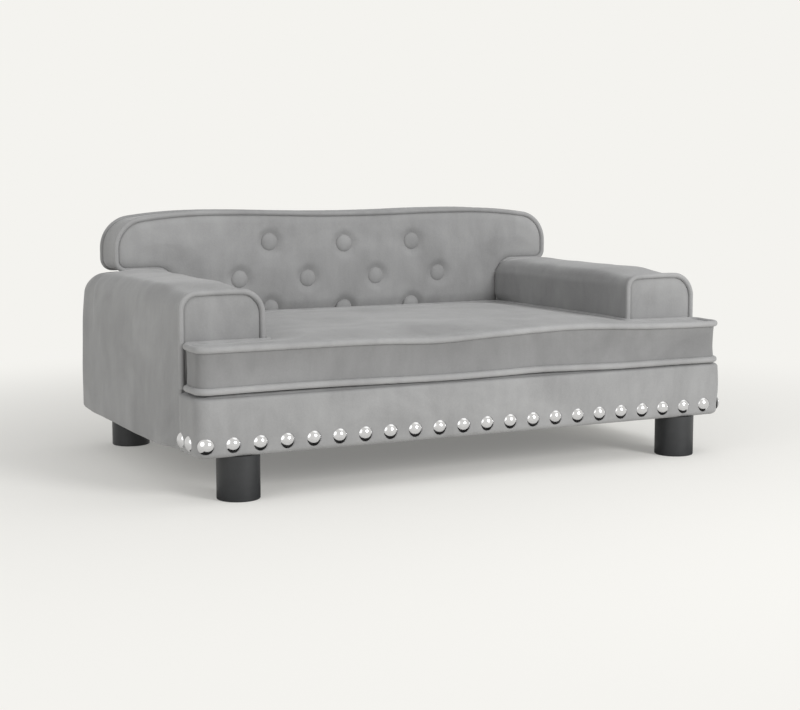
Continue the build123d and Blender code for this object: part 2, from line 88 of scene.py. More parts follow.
def power(name, description, default):
    return FloatProperty(name=name, description=description, default=default, unit="POWER")


class SofaShape(PropertyGroup):
    """Sizes of the upholstery."""
    cord: length("Piping radius", "Radius of the corded piping", 3.3)
    cushion_cord: length("Cushion piping", "Radius of the cushion's piping", 3.8)
    cord_sink: length("Piping sink", "How far the cord's centre lies inside the seam", 0.5)
    arm_crown: length("Arm side crown", "How far an arm's outer side swells", 6.5)
    arm_top_crown: length("Arm top crown", "How far an arm's top swells behind its piping", 6.5)
    arm_face_puff: length("Arm face puff", "How far an arm's front panel swells", 2.4)
    rail_puff: length("Rail puff", "How far the front rail swells between its edges", 1.6)
    back_puff: length("Back puff", "How far the back swells in front of its seam", 8.5)
    tuft_depth: length("Tuft depth", "How deep the buttons are drawn in", 8.0)
    button: length("Button radius", "Radius of a covered button", 12.0)
    button_rise: length("Button rise", "Height of a button's dome", 5.6)
    cushion_crown: length("Cushion crown", "Rise of the cushion's top over the seat", 3.5)
    cushion_waist: length("Cushion waist", "How far the cushion's sides draw in", 2.5)
    cushion_cap: length("Cushion cap", "How far a point of the cushion may move as it fills", 3.5)
    wrinkle: length("Wrinkle height", "Height of the soft wrinkles", 0.5)
    nail: length("Nail radius", "Radius of a nail's head", 9.0)
    nail_rise: length("Nail rise", "Height of a nail's dome", 4.5)


class SofaColours(PropertyGroup):
    """Colours of the finishes."""
    velvet: colour("Velvet", "Grey of the velvet", (0.30, 0.30, 0.30))
    # Set lighter than the velvet: a painted highlight on the cords
    piping: colour("Piping", "Grey of the velvet on the piping", (0.33, 0.33, 0.33))
    leg: colour("Legs", "Dark plastic of the legs", (0.024, 0.0252, 0.0268))
    chrome: colour("Nails", "Polished metal of the nails", (0.66, 0.66, 0.67))
    wood: colour("Boards", "Light plywood", (0.56, 0.40, 0.24))
    lining: colour("Lining", "Black lining cloth", (0.018, 0.018, 0.019))
    steel: colour("Hardware", "Plated steel", (0.60, 0.60, 0.61))
    ground: colour("Floor", "Pale floor and background", (0.905, 0.896, 0.863))


class StageLights(PropertyGroup):
    """Levels of the lamps."""
    sky: share("Sky", "Level of the even light from all sides", 0.54)
    key: power("Key", "Power of the large lamp above", 6.5)
    front: power("Front", "Power of the lamp in front", 42.0)
    fill: power("Fill", "Power of the soft lamp at the left", 6.5)


# Loops and surfaces

def unit(vectors):
    """Each row made one long."""
    return vectors / np.linalg.norm(vectors, axis=-1, keepdims=True)


def rounded_loop(corners, radii, count, arc_points=14):
    """Corners joined by straight runs, each corner replaced by an arc that touches both runs, then
    points at even steps of length. Corners run anticlockwise."""
    corners = np.array(corners, float)
    pieces = []
    for corner, before, after, radius in zip(corners, np.roll(corners, 1, 0), np.roll(corners, -1, 0), radii):
        back, ahead = unit(before - corner), unit(after - corner)
        half = np.arccos(np.clip(back @ ahead, -1, 1)) / 2
        centre = corner + unit(back + ahead) * radius / sin(half)
        first = corner + back * radius / np.tan(half) - centre
        last = corner + ahead * radius / np.tan(half) - centre
        start = np.arctan2(first[1], first[0])
        sweep = (np.arctan2(last[1], last[0]) - start + pi) % (2 * pi) - pi
        turn = start + sweep * np.linspace(0, 1, arc_points)
        pieces.append(centre + radius * np.column_stack([np.cos(turn), np.sin(turn)]))
    return even_loop(np.vstack(pieces), count)


def even_loop(points, count):
    """The same closed line with its points at even steps of its length."""
    closed = np.vstack([points, points[:1]])
    run = np.concatenate([[0], np.cumsum(np.linalg.norm(np.diff(closed, axis=0), axis=1))])
    at = np.arange(count) / count * run[-1]
    return np.column_stack([np.interp(at, run, column) for column in closed.T])


def drawn_in(loop, distance):
    """Each point moved to the left of the loop's direction, which is inwards on an anticlockwise loop."""
    tangent = unit(np.roll(loop, -1, 0) - np.roll(loop, 1, 0))
    return loop + distance * np.column_stack([-tangent[:, 1], tangent[:, 0]])


def smooth(value, low, high):
    """0 below low, 1 above high, and the cubic 3t^2 - 2t^3 between."""
    t = np.clip((value - low) / (high - low), 0, 1)
    return t * t * (3 - 2 * t)


def ramp(value, low, high):
    """The same between two lengths in millimetres."""
    return smooth(value, low * MM, high * MM)


def ripple(points, size, seed):
    """Sum of eight sine waves of about one size in directions drawn once from a seed, mostly within 1."""
    draw = np.random.default_rng(seed)
    ways = unit(draw.normal(size=(8, 3)))
    waves = np.sin(points @ ways.T * (2 * pi / size) * draw.uniform(0.7, 1.4, 8) + draw.uniform(0, 2 * pi, 8))
    return waves.sum(-1) / 4


def ripples(points, *waves):
    """Sum of ripples, each given by its share, its size in millimetres and its seed."""
    return sum(share * ripple(points, size * MM, seed) for share, size, seed in waves)


def upright(plan, y):
    """Points of a front view, x and z, stood at a depth y."""
    return np.insert(plan, 1, y, axis=-1)


def gap_to(loop, points):
    """Distance of each point of a plane, in rings, to the nearest point of a loop."""
    return np.array([np.sqrt(((ring[:, None] - loop[None]) ** 2).sum(-1).min(1)) for ring in points])


def from_seam(gap, start, width):
    """Height share of a padded panel at a distance from its seam: nothing up to start, where the cord lies,
    then a quarter ellipse of a width, both in millimetres."""
    t = np.clip((gap / MM - start) / width, 0, 1)
    return np.sqrt(1 - (1 - t) ** 2)


def bell(distance, width, power=2):
    """exp(-(distance / width)^power): 1 at no distance, and nearly 0 beyond twice the width."""
    return np.exp(-(distance / width) ** power)


def inward(edge, middle, least, count):
    """Rings inside an edge: smaller copies of it about the middle, down to the least share of its size."""
    shares = np.linspace(1, least, count)[1:, None, None]
    return middle * (1 - shares) + edge * shares


def rounding(gap, radius):
    """Drop of a quarter circle at a distance from the end that it rounds."""
    return radius * (1 - np.sqrt(1 - np.clip(1 - gap / radius, 0, 1) ** 2))


def ring_faces(rings, count, closed=True):
    """Quads between neighbouring rings of a grid; a ring's last point meets its first where it is closed."""
    row, step = np.meshgrid(np.arange(rings - 1), np.arange(count if closed else count - 1), indexing="ij")
    a = row * count + step
    b = row * count + (step + 1) % count
    return np.stack([a, b, b + count, a + count], -1).reshape(-1, 4)


def add_object(name, data):
    """An object at the origin that holds the data."""
    item = bpy.data.objects.new(name, data)
    bpy.context.collection.objects.link(item)
    return item


def put_mesh(name, vertices, quads, triangles=()):
    """A smooth mesh object at the origin, its faces turned outwards by the sign of its volume."""
    triangles = np.array(triangles, int).reshape(-1, 3)
    halves = np.vstack([quads[:, [0, 1, 2]], quads[:, [0, 2, 3]], triangles])
    a, b, c = (vertices[halves[:, k]] for k in range(3))
    if np.einsum("ij,ij->i", a, np.cross(b, c)).sum() < 0:
        quads, triangles = quads[:, ::-1], triangles[:, ::-1]
    mesh = bpy.data.meshes.new(name)
    mesh.from_pydata(vertices.tolist(), [], quads.tolist() + triangles.tolist())
    mesh.polygons.foreach_set("use_smooth", np.ones(len(mesh.polygons), bool))
    mesh.update()
    return add_object(name, mesh)


def closed_skin(name, rings):
    """Rings (ring, point, xyz) joined by quads and closed at both ends by a fan to the end ring's middle.
    Several skins of one form share a mesh when rings has a fourth, leading, dimension."""
    if rings.ndim == 3:
        rings = rings[None]
    copies, count, points = rings.shape[:3]
    ends = np.stack([rings[:, 0].mean(1), rings[:, -1].mean(1)], 1)
    vertices = np.concatenate([rings.reshape(copies, -1, 3), ends], 1)
    around = np.arange(points)
    onward = (around + 1) % points
    base, first = (count - 1) * points, count * points
    triangles = np.vstack([np.stack([onward, around, np.full(points, first)], 1),
                           np.stack([base + around, base + onward, np.full(points, first + 1)], 1)])
    shift = (np.arange(copies) * vertices.shape[1])[:, None, None]
    return put_mesh(name, vertices.reshape(-1, 3), (ring_faces(count, points) + shift).reshape(-1, 4),
                    (triangles + shift).reshape(-1, 3))


CORD_POINTS = 14


def piping(name, path, normal, radius, seed, closed=True):
    """A tube of wrapped velvet: path + radius (cos a * side + sin a * normal), side being tangent x normal
    and the radius a little uneven. Its last ring meets its first, or fans close the ends of an open line."""
    tangent = unit(np.roll(path, -1, 0) - np.roll(path, 1, 0) if closed else np.gradient(path, axis=0))
    side = unit(np.cross(tangent, normal))
    lift = np.cross(side, tangent)
    angle = np.arange(CORD_POINTS)[None, :, None] / CORD_POINTS * 2 * pi
    radius = radius * (1 + ripples(path, (0.02, 9, seed), (0.02, 40, seed + 1)))[:, None, None]
    rings = path[:, None] + radius * (np.cos(angle) * side[:, None] + np.sin(angle) * lift[:, None])
    if not closed:
        return closed_skin(name, rings)
    quads = ring_faces(len(path) + 1, CORD_POINTS) % (len(path) * CORD_POINTS)
    return put_mesh(name, rings.reshape(-1, 3), quads)


# The cushion's filling: frames, steps a frame, mass of a cloth point, pressure, and how many cloth points a
# point of the cushion follows
FILL_FRAMES, FILL_QUALITY, FILL_MASS, FILL_PRESSURE, FILL_NEAR = 20, 5, 0.3, 4, 8


def swell(piece, free, cap, voxel):
    """Fills a padded piece: a copy of it, remeshed into even squares, is simulated as cloth blown up by air.
    Each point of the piece then takes the mean travel of the nearest cloth points, weighted by
    exp(-(distance / voxel)^2) and no longer than cap, times the share of it that is free to move."""
    scene, graph = bpy.context.scene, bpy.context.evaluated_depsgraph_get()
    twin = bpy.data.objects.new("filling", piece.data.copy())
    scene.collection.objects.link(twin)
    remesh = twin.modifiers.new("squares", "REMESH")
    remesh.mode, remesh.voxel_size = "VOXEL", voxel
    graph.update()
    twin.data = bpy.data.meshes.new_from_object(twin.evaluated_get(graph))
    twin.modifiers.clear()
    start = mesh_points(twin.data)
    cloth = twin.modifiers.new("cloth", "CLOTH").settings
    cloth.quality, cloth.mass = FILL_QUALITY, FILL_MASS
    cloth.use_pressure, cloth.uniform_pressure_force = True, FILL_PRESSURE
    cloth.effector_weights.gravity = 0
    for moment in range(1, FILL_FRAMES + 1):
        scene.frame_set(moment)
    blown = twin.evaluated_get(bpy.context.evaluated_depsgraph_get())
    travel = mesh_points(blown.data) - start
    scene.frame_set(1)
    bpy.data.objects.remove(twin)
    reach = np.linalg.norm(travel, axis=1)
    travel *= (np.minimum(reach, cap) / np.maximum(reach, 1e-9))[:, None]
    tree = KDTree(len(start))
    for index, point in enumerate(start):
        tree.insert(point, index)
    tree.balance()
    points = mesh_points(piece.data)
    share = np.concatenate([free.ravel(), np.zeros(len(points) - free.size)])
    for index in np.nonzero(share > 0)[0]:
        near = tree.find_n(points[index], FILL_NEAR)
        weight = bell(np.array([hit[2] for hit in near]), voxel)
        points[index] += share[index] * (weight @ travel[[hit[1] for hit in near]]) / weight.sum()
    piece.data.vertices.foreach_set("co", points.astype(np.float32).ravel())
    piece.data.update()


def mesh_points(mesh):
    """Places of a mesh's points, one row each."""
    points = np.empty(len(mesh.vertices) * 3)
    mesh.vertices.foreach_get("co", points)
    return points.reshape(-1, 3)


PLEATS = 26


def lathe(profile, around, ruffle=0.0):
    """A profile of (radius, height) turned about Z: rings (height step, angle, xyz). Pleats ruffle the radius
    by a share of it."""
    angle = np.arange(around) / around * 2 * pi
    radius = profile[:, 0, None] * (1 + ruffle * np.cos(angle * PLEATS)[None])
    return np.stack([radius * np.cos(angle), radius * np.sin(angle),
                     np.broadcast_to(profile[:, 1, None], radius.shape)], -1)


def stand_on(rings, places, outward):
    """Copies of lathed rings at each place, their own Z turned to the outward direction."""
    across = unit(np.cross(UP, outward))
    up = np.cross(outward, across)
    x, y, z = rings[..., 0], rings[..., 1], rings[..., 2]
    return (places[:, None, None] + x[None, ..., None] * across[:, None, None]
            + y[None, ..., None] * up[:, None, None] + z[None, ..., None] * outward[:, None, None])


# Shader maths

class Signal:
    """A shader socket with arithmetic: each expression adds its Math node."""

    def __init__(self, nodes, socket):
        self.nodes, self.socket = nodes, socket

    def math(self, operation, *values):
        return self.nodes.node("ShaderNodeMath", {"operation": operation}, dict(enumerate(values)))

    def __add__(self, other):
        return self.math("ADD", self, other)

    def __sub__(self, other):
        return self.math("SUBTRACT", self, other)

    def __mul__(self, other):
        return self.math("MULTIPLY", self, other)


class Nodes:
    """A node tree in the making, with the one method that adds nodes."""

    def __init__(self, tree):
        self.tree = tree

    def feed(self, socket, value):
        """Links a signal to a socket, or sets a plain value on it."""
        if isinstance(value, Signal):
            self.tree.links.new(value.socket, socket)
        else:
            socket.default_value = value

    def node(self, kind, settings=None, sockets=None, output=0):
        """Adds a node: its settings first, then values or links by socket name or number."""
        node = self.tree.nodes.new(kind)
        for key, value in (settings or {}).items():
            setattr(node, key, value)
        for key, value in (sockets or {}).items():
            self.feed(node.inputs[key], value)
        return Signal(self, node.outputs[output])


class Look(Nodes):
    """A material in the making, with its surface shader."""

    def __init__(self, name, settings):
        self.material = bpy.data.materials.new(name)
        self.material.use_nodes = True
        super().__init__(self.material.node_tree)
        self.shader = self.tree.nodes["Principled BSDF"]
        for socket, value in settings.items():
            self.shader.inputs[socket].default_value = value

    def place(self, stretch=(1, 1, 1)):
        """Object coordinates, stretched along the axes."""
        own = self.node("ShaderNodeTexCoord", output=3)
        return self.node("ShaderNodeMapping", {}, {"Vector": own, "Scale": stretch})

    def noise(self, scale, detail=2.0, rough=0.5, stretch=(1, 1, 1), twist=0.0):
        return self.node("ShaderNodeTexNoise", {"noise_dimensions": "3D"},
                         {"Vector": self.place(stretch), "Scale": scale, "Detail": detail,
                          "Roughness": rough, "Distortion": twist})

    def level(self):
        """1 where the cloth lies level and 0 where it stands upright."""
        facing = self.node("ShaderNodeNewGeometry", output=1)
        rise = self.node("ShaderNodeSeparateXYZ", {}, {"Vector": facing}, output=2)
        return rise * rise

    def blend(self, factor, first, second):
        """A colour between two, by a signal; each is four numbers or a signal itself."""
        return self.node("ShaderNodeMix", {"data_type": "RGBA"}, {0: factor, 6: first, 7: second}, output=2)

    def tones(self, factor, tone, dark, light):
        """A colour between a tone darkened and the same tone lightened, by a signal."""
        return self.blend(factor, *((*(value * share for value in tone), 1) for share in (dark, light)))

    def surface(self, **signals):
        for name, signal in signals.items():
            self.feed(self.shader.inputs[name.replace("_", " ")], signal)

    def bump(self, height, distance, strength):
        self.surface(Normal=self.node("ShaderNodeBump", {}, {"Height": height, "Distance": distance,
                                                             "Strength": strength}))


def velvet_look(name, tone, side_shade=1.0):
    """Short pile: broad brushed marks, fine strokes and a grain of pile; sheen at grazing angles. Cloth that
    stands upright is darkened by a factor, as painted shade on upright sides."""
    look = Look(name, {"Roughness": 0.85, "Sheen Weight": 0.25, "Sheen Roughness": 0.38,
                       "Specular IOR Level": 0.25})
    marks = look.noise(11.0, 4.0, 0.55, twist=0.7)
    strokes = look.noise(60.0, 3.0, 0.6, stretch=(1.0, 1.0, 0.3))
    pile = look.noise(2600.0, 1.0)
    nap = look.noise(420.0)
    tint = (marks - 0.5) * 2.0 + (strokes - 0.5) * 0.7 + (pile - 0.5) * 0.5 + (nap - 0.5) * 0.3 + 0.5
    dark, light = 0.84, 1.16
    colour = look.tones(tint, tone, dark, light)
    # Upright cloth is darkened by this factor: painted shade
    if side_shade != 1.0:
        painted_shade = look.tones(tint, tone, dark * side_shade, light * side_shade)
        colour = look.blend(look.level(), painted_shade, colour)
    look.surface(Base_Color=colour, Roughness=(marks - 0.5) * 0.25 + 0.85)
    look.bump(pile * 0.5 + nap * 0.8 + strokes * 0.6, 0.35 * MM, 0.5)
    return look.material


def plastic_look(name, tone):
    """Moulded plastic: fine orange-peel and faint scuffs."""
    look = Look(name, {"Roughness": 0.42, "Specular IOR Level": 0.5})
    peel = look.noise(900.0)
    scuff = look.noise(38.0, 4.0, 0.65, stretch=(1, 1, 3))
    look.surface(Base_Color=look.tones(scuff, tone, 0.85, 1.2), Roughness=scuff * 0.22 + 0.34)
    look.bump(peel, 0.12 * MM, 0.4)
    return look.material


def metal_look(name, tone, rough, brushed=0.0):
    """Polished or plated metal: faint smudges, and fine brushing where asked for."""
    look = Look(name, {"Metallic": 1.0, "Roughness": rough})
    smudge = look.noise(160.0, 3.0)
    grain = look.noise(1500.0, stretch=(1, 1, 12))
    look.surface(Base_Color=look.tones(smudge, tone, 0.9, 1.08),
                 Roughness=smudge * 0.1 + grain * brushed + rough)
    return look.material


def wood_look(name, tone):
    """Plywood: long wavering grain with darker streaks and fine pores."""
    look = Look(name, {"Roughness": 0.7})
    grain = look.node("ShaderNodeTexWave", {"wave_type": "BANDS", "bands_direction": "Z"},
                      {"Vector": look.place((0.15, 0.3, 1.0)), "Scale": 60.0, "Distortion": 9.0,
                       "Detail": 3.0, "Detail Scale": 1.4}, output=1)
    streak = look.noise(24.0, 5.0, 0.6, stretch=(0.1, 1, 1))
    pores = look.noise(900.0, stretch=(0.06, 1, 1))
    look.surface(Base_Color=look.tones(grain * 0.45 + streak * 0.55, tone, 0.72, 1.18),
                 Roughness=pores * 0.2 + 0.6)
    look.bump(pores + grain * 0.3, 0.2 * MM, 0.4)
    return look.material


WAVE_AT_SCALE_ONE = 0.3142  # length of one band of the wave texture, in metres


def cloth_look(name, tone, pitch):
    """Plain woven or bonded cloth: crossed threads and mottling."""
    look = Look(name, {"Roughness": 0.9, "Specular IOR Level": 0.2})
    warp, weft = (look.node("ShaderNodeTexWave", {"bands_direction": way},
                            {"Vector": look.place(), "Scale": WAVE_AT_SCALE_ONE / pitch, "Distortion": 0.4},
                            output=1) for way in "XY")
    mottle = look.noise(90.0, 4.0)
    look.surface(Base_Color=look.tones(warp * 0.3 + weft * 0.3 + mottle * 0.4, tone, 0.7, 1.3),
                 Roughness=mottle * 0.15 + 0.8)
    look.bump(warp + weft, 0.25 * MM, 0.6)
    return look.material


# Maker of each finish, its colour or that colour's property, and the maker's further values
FINISHES = {
    "velvet": (velvet_look, "velvet"),
    # The cushion's upright sides are darkened by this factor: painted shade
    "cushion_velvet": (velvet_look, "velvet", 0.76),
    # Cords in a lighter grey: painted highlight
    "piping_velvet": (velvet_look, "piping"),
    "lining": (cloth_look, "lining", 0.9 * MM),
    "nail_chrome": (metal_look, "chrome", 0.09),
    "zip_weave": (cloth_look, (0.2, 0.2, 0.2), 0.5 * MM),
    "zip_plastic": (plastic_look, (0.16, 0.16, 0.16)),
    "leg_plastic": (plastic_look, "leg"),
    "frame_wood": (wood_look, "wood"),
    "hardware_steel": (metal_look, "steel", 0.3, 0.15),
    "zip_metal": (metal_look, "steel", 0.25, 0.1),
    "twine_cotton": (cloth_look, (0.6, 0.57, 0.5), 0.6 * MM),
}
CAD_FINISHES = ("leg_plastic", "frame_wood", "hardware_steel", "zip_metal", "twine_cotton")
looks = {}


def look_of(name):
    """A finish by name, made the first time it is asked for."""
    if name not in looks:
        maker, tone, *values = FINISHES[name]
        if isinstance(tone, str):
            tone = tuple(getattr(bpy.context.scene.sofa_colours, tone))
        looks[name] = maker(name, tone, *values)
    return looks[name]


def finish_piece(piece, body, look, slot, *nodes, fill=None):
    """Look, body and the CAD nodes that a piece stands for; the slot is not used."""
    piece.data.materials.append(look_of(look))
    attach(piece, body)
    if nodes:
        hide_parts(*nodes)


# Front rail

RAIL_LOW, RAIL_HIGH = node_box("rail_cover")
# Of the row of nails: pitch, place of the first two along the row, height over the rail's foot; then the dent
# that a nail pulls into the velvet, and its width
NAIL_PITCH, NAIL_FIRST, NAIL_SECOND, NAIL_LEVEL = 31.8 * MM, 6.5 * MM, 31.7 * MM, 13.9 * MM
NAIL_DENT, NAIL_DENT_WIDTH = 1.1 * MM, 12 * MM
RAIL_ROUND, RAIL_FOOT_ROUND, RAIL_TOP_ROUND, RAIL_SINK = 14 * MM, 6 * MM, 4 * MM, 3 * MM


def nail_places():
    """Foot and outward direction of each nail: a run of length along side, arc, front, arc and side."""
    side = RAIL_HIGH[1] - RAIL_LOW[1] - RAIL_ROUND
    arc = RAIL_ROUND * pi / 2
    front = RAIL_HIGH[0] - RAIL_LOW[0] - RAIL_ROUND * 2
    row = (side + arc) * 2 + front
    run = np.concatenate([[NAIL_FIRST], np.arange(NAIL_SECOND, row, NAIL_PITCH)])
    bend = np.clip(run - side, 0, arc) + np.clip(run - side - arc - front, 0, arc)
    across = np.clip(run - side - arc, 0, front)
    back = np.maximum(np.maximum(side - run, run - side - arc * 2 - front), 0)
    angle = bend / RAIL_ROUND
    outward = np.column_stack([-np.cos(angle), -np.sin(angle), np.zeros_like(angle)])
    centre = np.column_stack([across - front / 2, RAIL_LOW[1] + RAIL_ROUND + back,
                              np.full_like(angle, RAIL_LOW[2] + NAIL_LEVEL)])
    return centre + outward * RAIL_ROUND, outward


class SOFA_OT_front_rail(Operator):
    """Adds the padded velvet of the front rail"""
    bl_idname = "sofa.front_rail"
    bl_label = "Front rail"

    def execute(self, context):
        shape = context.scene.sofa_shape
        (left, near, low), (right, far, high) = RAIL_LOW, RAIL_HIGH
        loop = rounded_loop([(left, near), (right, near), (right, far), (left, far)],
                            [RAIL_ROUND, RAIL_ROUND, MM, MM], 640)

        def ring(inset, level):
            """The plan drawn in at the front and the ends only."""
            plan = drawn_in(loop, inset)
            near_now, far_now = plan[:, 1].min(), plan[:, 1].max()
            plan[:, 1] = near_now + (plan[:, 1] - near_now) * (far - near_now) / (far_now - near_now)
            return np.column_stack([plan, np.full(len(plan), level)])

        foot, top, brim = RAIL_FOOT_ROUND, RAIL_TOP_ROUND, high - RAIL_SINK
        turn = np.linspace(0, pi / 2, 7)
        rows = [ring(foot * (1 - np.sin(a)), low + foot * (1 - np.cos(a))) for a in turn]
        rows += [ring(0, level) for level in np.linspace(low + foot, brim - top, 26)[1:-1]]
        rows += [ring(top * (1 - np.cos(a)), brim - top * (1 - np.sin(a))) for a in turn]
        body = np.array(rows)
        front = ramp(far - body[..., 1], 0, 12)
        hump = np.sin(pi * (body[..., 2] - low) / (high - low)) * front
        puff = (shape.rail_puff + shape.wrinkle * ripples(body, (0.5, 70, 3))) * hump
        gap = np.linalg.norm(body[:, :, None] - nail_places()[0], axis=-1)
        puff -= NAIL_DENT * bell(gap, NAIL_DENT_WIDTH).sum(-1) * front
        body[..., :2] += puff[..., None] * (drawn_in(loop, -1.0) - loop)
        middle = np.array([0, (near + far) / 2, 0])

        def lid(edge, rise):
            """The flat rings inside an edge, with a rise behind its front."""
            shares = np.linspace(0.97, 0.03, 24)[:, None, None]
            flat = middle * (1 - shares) + edge * shares
            flat[..., 2] = edge[0, 2] + rise * ramp(flat[..., 1] - near, 4, 8.5)
            return flat

        rings = np.concatenate([lid(body[0], 0)[::-1], body, lid(body[-1], RAIL_SINK)])
        skin = closed_skin("rail_velvet", rings)
        finish_piece(skin, "sofa", "velvet", "velvet", "rail_cover", "rail_foam", fill=0.9)
        return {"FINISHED"}


class SOFA_OT_nails(Operator):
    """Adds the row of domed nails"""
    bl_idname = "sofa.nails"
    bl_label = "Nails"

    def execute(self, context):
        shape = context.scene.sofa_shape
        radius, rise = shape.nail, shape.nail_rise
        ball = (radius ** 2 + rise ** 2) / (2 * rise)
        reach = np.linspace(0.02, 1, 12) * radius
        dome = np.column_stack([reach, np.sqrt(ball ** 2 - reach ** 2) - ball + rise])
        lip = np.array([[radius * 1.01, -0.25 * MM], [radius * 0.97, -0.6 * MM], [radius * 0.85, -0.5 * MM]])
        rings = stand_on(lathe(np.vstack([dome, lip]), 36), *nail_places())
        heads = closed_skin("nail_heads", rings)
        finish_piece(heads, "sofa", "nail_chrome", "nail_chrome", "rail_nails")
        return {"FINISHED"}


# Arms, worked out on the right and mirrored

ARM_LOW, ARM_HIGH = node_box("arm_right_cover")
BACK_LOW, BACK_HIGH = node_box("back_border")
# Of each arm: corner radii at the top outside and inside, and how far its inner side leans over the cushion
ARM_ROUNDS = {"right": (27 * MM, 13 * MM, 2.6 * MM), "left": (17 * MM, 24 * MM, 0.0)}
# Rounding of an arm's rear at its side, top and foot: radius, and the share of it that is used
ARM_ENDS = ((12 * MM, 1), (36 * MM, 0.5), (15 * MM, 1))
# Corner radii at the foot, inside and outside, and how far the top bulges
ARM_FOOT_ROUNDS, ARM_BULGE = [8 * MM, 4 * MM], 2 * MM
# Rounding of the front edge beside the cord: radius and share
ARM_SEAM_ROUND, ARM_SEAM_SHARE = 6 * MM, 0.65
# Room over the top for its crown, sag of the outer foot, length of the rear that rounds off
ARM_HEADROOM, ARM_SAG, ARM_TAIL = 4.4 * MM, 3.2 * MM, 60 * MM
# How far the inner side and the top are pushed out and up where the arm meets the back
ARM_PRESS_OUT, ARM_PRESS_UP = 7.5 * MM, 2.4 * MM
ARM_SEAM_INSETS = np.array([1.0, 2.0, 3.0, 4.0, 5.0, 6.0, 7.4])[:, None, None] * MM


def arm_loop(shape, side, count):
    """Front view of the arm: a box with rounded corners, its top swollen by a parabola."""
    outer_round, inner_round, lean = ARM_ROUNDS[side]
    left, right, low = ARM_LOW[0], ARM_HIGH[0] - shape.arm_crown, ARM_LOW[2]
    high = ARM_HIGH[2] - ARM_HEADROOM
    loop = rounded_loop([(left, low), (right, low), (right, high), (left, high)],
                        [*ARM_FOOT_ROUNDS, outer_round, inner_round], count)
    across = (loop[:, 0] - left) / (right - left)
    up = (loop[:, 1] - low) / (high - low)
    loop[:, 1] += ARM_BULGE * up ** 4 * (1 - (2 * across - 1) ** 2)
    loop[:, 0] -= lean * (1 - smooth(across, 0, 0.5)) * ramp(loop[:, 1], 156, 168)
    return loop


